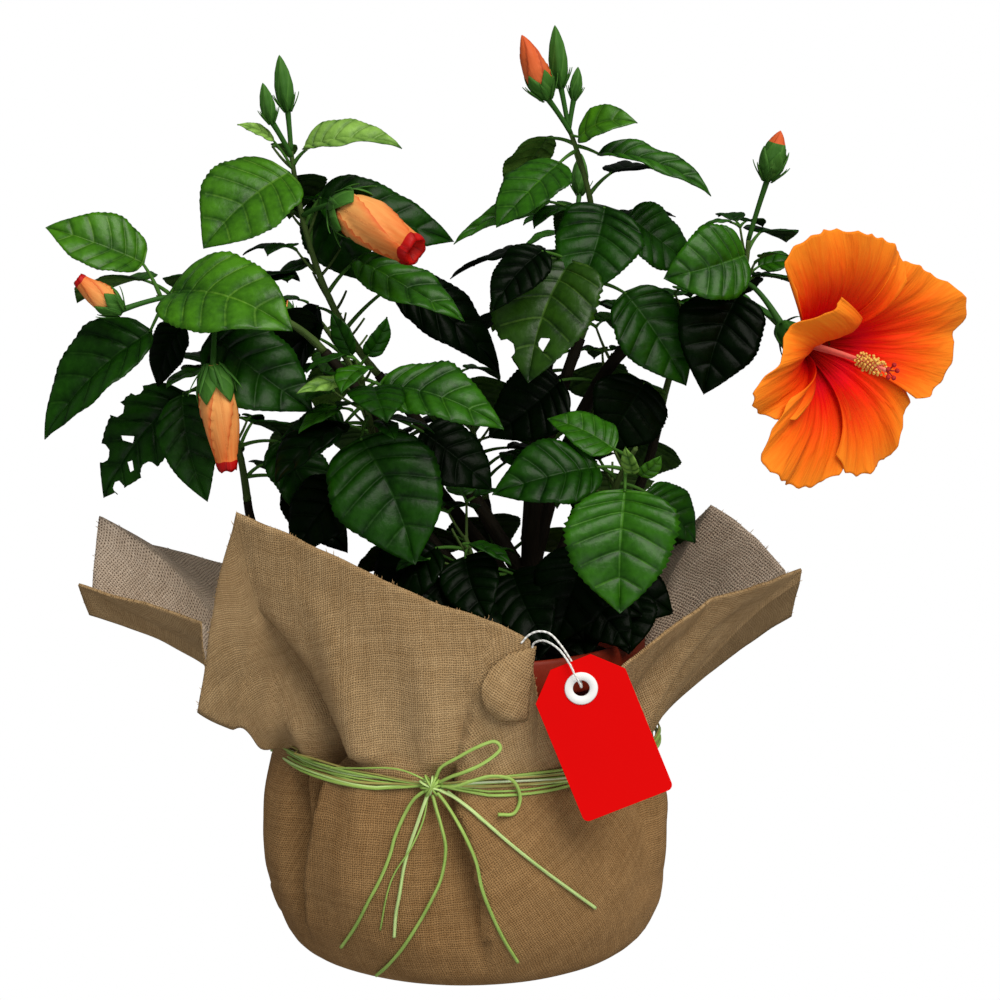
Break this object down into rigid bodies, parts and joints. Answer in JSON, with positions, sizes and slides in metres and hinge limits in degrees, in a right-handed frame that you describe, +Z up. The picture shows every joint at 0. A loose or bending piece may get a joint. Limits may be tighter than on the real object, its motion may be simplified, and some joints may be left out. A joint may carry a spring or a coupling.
{
  "type": "potted hibiscus shrub",
  "caption": "Flowering hibiscus shrub in a pot wrapped in jute, tied with raffia, with buds, an open orange bloom and a blank swing tag.",
  "frame": {"origin": "centre of the flat underside of the wrapped pot, where it stands", "axes": "+Z up, +X to the right of the front view, -Y towards the front with the knot and the tag"},
  "size_m": [0.4601, 0.2931, 0.483],
  "materials": {
    "pot": "satin",
    "soil": "matte",
    "jute": "matte",
    "raffia": "satin",
    "tag": "satin",
    "eyelet": "gloss",
    "string": "matte",
    "bark": "matte",
    "foliage": "satin",
    "bloom": "matte"
  },
  "bodies": {
    "root": {"bloom": "bloom", "bough_back_left": "bark", "bough_back_low": "bark", "bough_back_middle": "bark", "bough_back_right": "bark", "bough_centre": "bark", "bough_front_right": "bark", "bough_inner_right": "bark", "bough_left": "bark", "bough_low": "bark", "bough_lower_left": "bark", "bough_right": "bark", "bough_top": "bark", "bough_upper_left": "bark", "foliage_back_left": "foliage", "foliage_back_low": "foliage", "foliage_back_middle": "foliage", "foliage_back_right": "foliage", "foliage_centre": "foliage", "foliage_front_right": "foliage", "foliage_inner_right": "foliage", "foliage_left": "foliage", "foliage_low": "foliage", "foliage_lower_left": "foliage", "foliage_right": "foliage", "foliage_top": "foliage", "foliage_upper_left": "foliage", "jute_wrap": "jute", "main_stem": "bark", "pot": "pot", "raffia_band": "raffia", "raffia_bow": "raffia", "raffia_loop": "raffia", "raffia_tail_far": "raffia", "raffia_tail_left": "raffia", "raffia_tail_long": "raffia", "raffia_tail_middle": "raffia", "raffia_tail_right": "raffia", "soil": "soil", "tag": "tag", "tag_eyelet": "eyelet", "tag_string": "string"}
  },
  "joints": []
}
